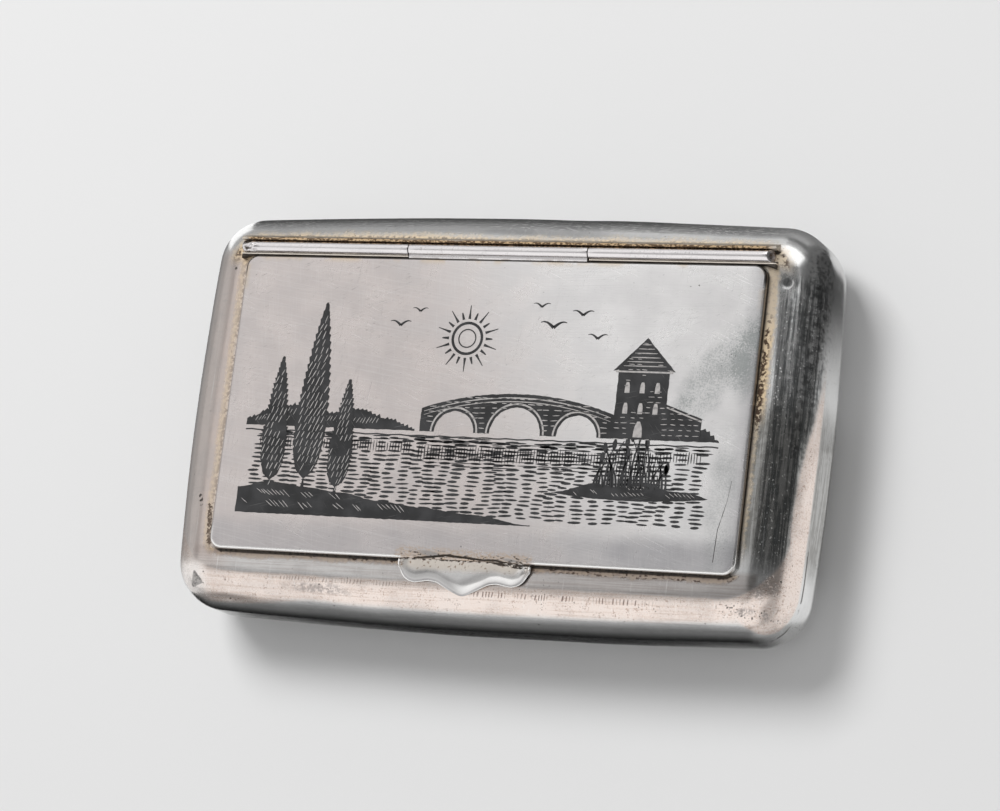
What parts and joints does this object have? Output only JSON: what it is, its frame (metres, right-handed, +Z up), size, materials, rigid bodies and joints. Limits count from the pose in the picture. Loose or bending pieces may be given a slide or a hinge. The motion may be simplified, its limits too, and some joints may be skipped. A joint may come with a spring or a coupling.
{
  "type": "snuff box",
  "caption": "Flat rectangular silver snuff box with rolled edges, a plate lid on an inboard knuckle hinge and a shaped thumbpiece.",
  "frame": {"origin": "middle of the base, on the surface that the box rests on", "axes": "+X along the long side, to the right when the thumbpiece faces the viewer; +Y from the thumbpiece towards the hinge; +Z up through the lid"},
  "size_m": [0.0814, 0.0508, 0.0163],
  "materials": {
    "case_silver": "worn warm silver, scratched, with brown tarnish along the rim",
    "lid_silver": "finely scratched satin silver with grey cloudy tarnish and black niello inlay",
    "inner_silver": "dull tarnished silver, not polished",
    "hinge_silver": "silver wire tube rubbed bright",
    "pin_metal": "dark tarnished wire"
  },
  "bodies": {
    "case": {"upper_shell": "case_silver", "lower_shell": "case_silver", "mouth_bezel": "inner_silver", "hinge_bearer": "inner_silver", "hinge_knuckle_left": "hinge_silver", "hinge_knuckle_right": "hinge_silver", "hinge_pin": "pin_metal", "hinge_plug": "hinge_silver"},
    "lid": {"lid_plate": "lid_silver", "lid_flange": "inner_silver", "hinge_knuckle_middle": "hinge_silver", "thumbpiece": "case_silver"}
  },
  "joints": [
    {"name": "lid_hinge", "type": "hinge", "parent": "case", "child": "lid", "pos_m": [0, 0.01995, 0.0156], "axis": [-1, 0, 0], "range_deg": [0, 125]}
  ]
}
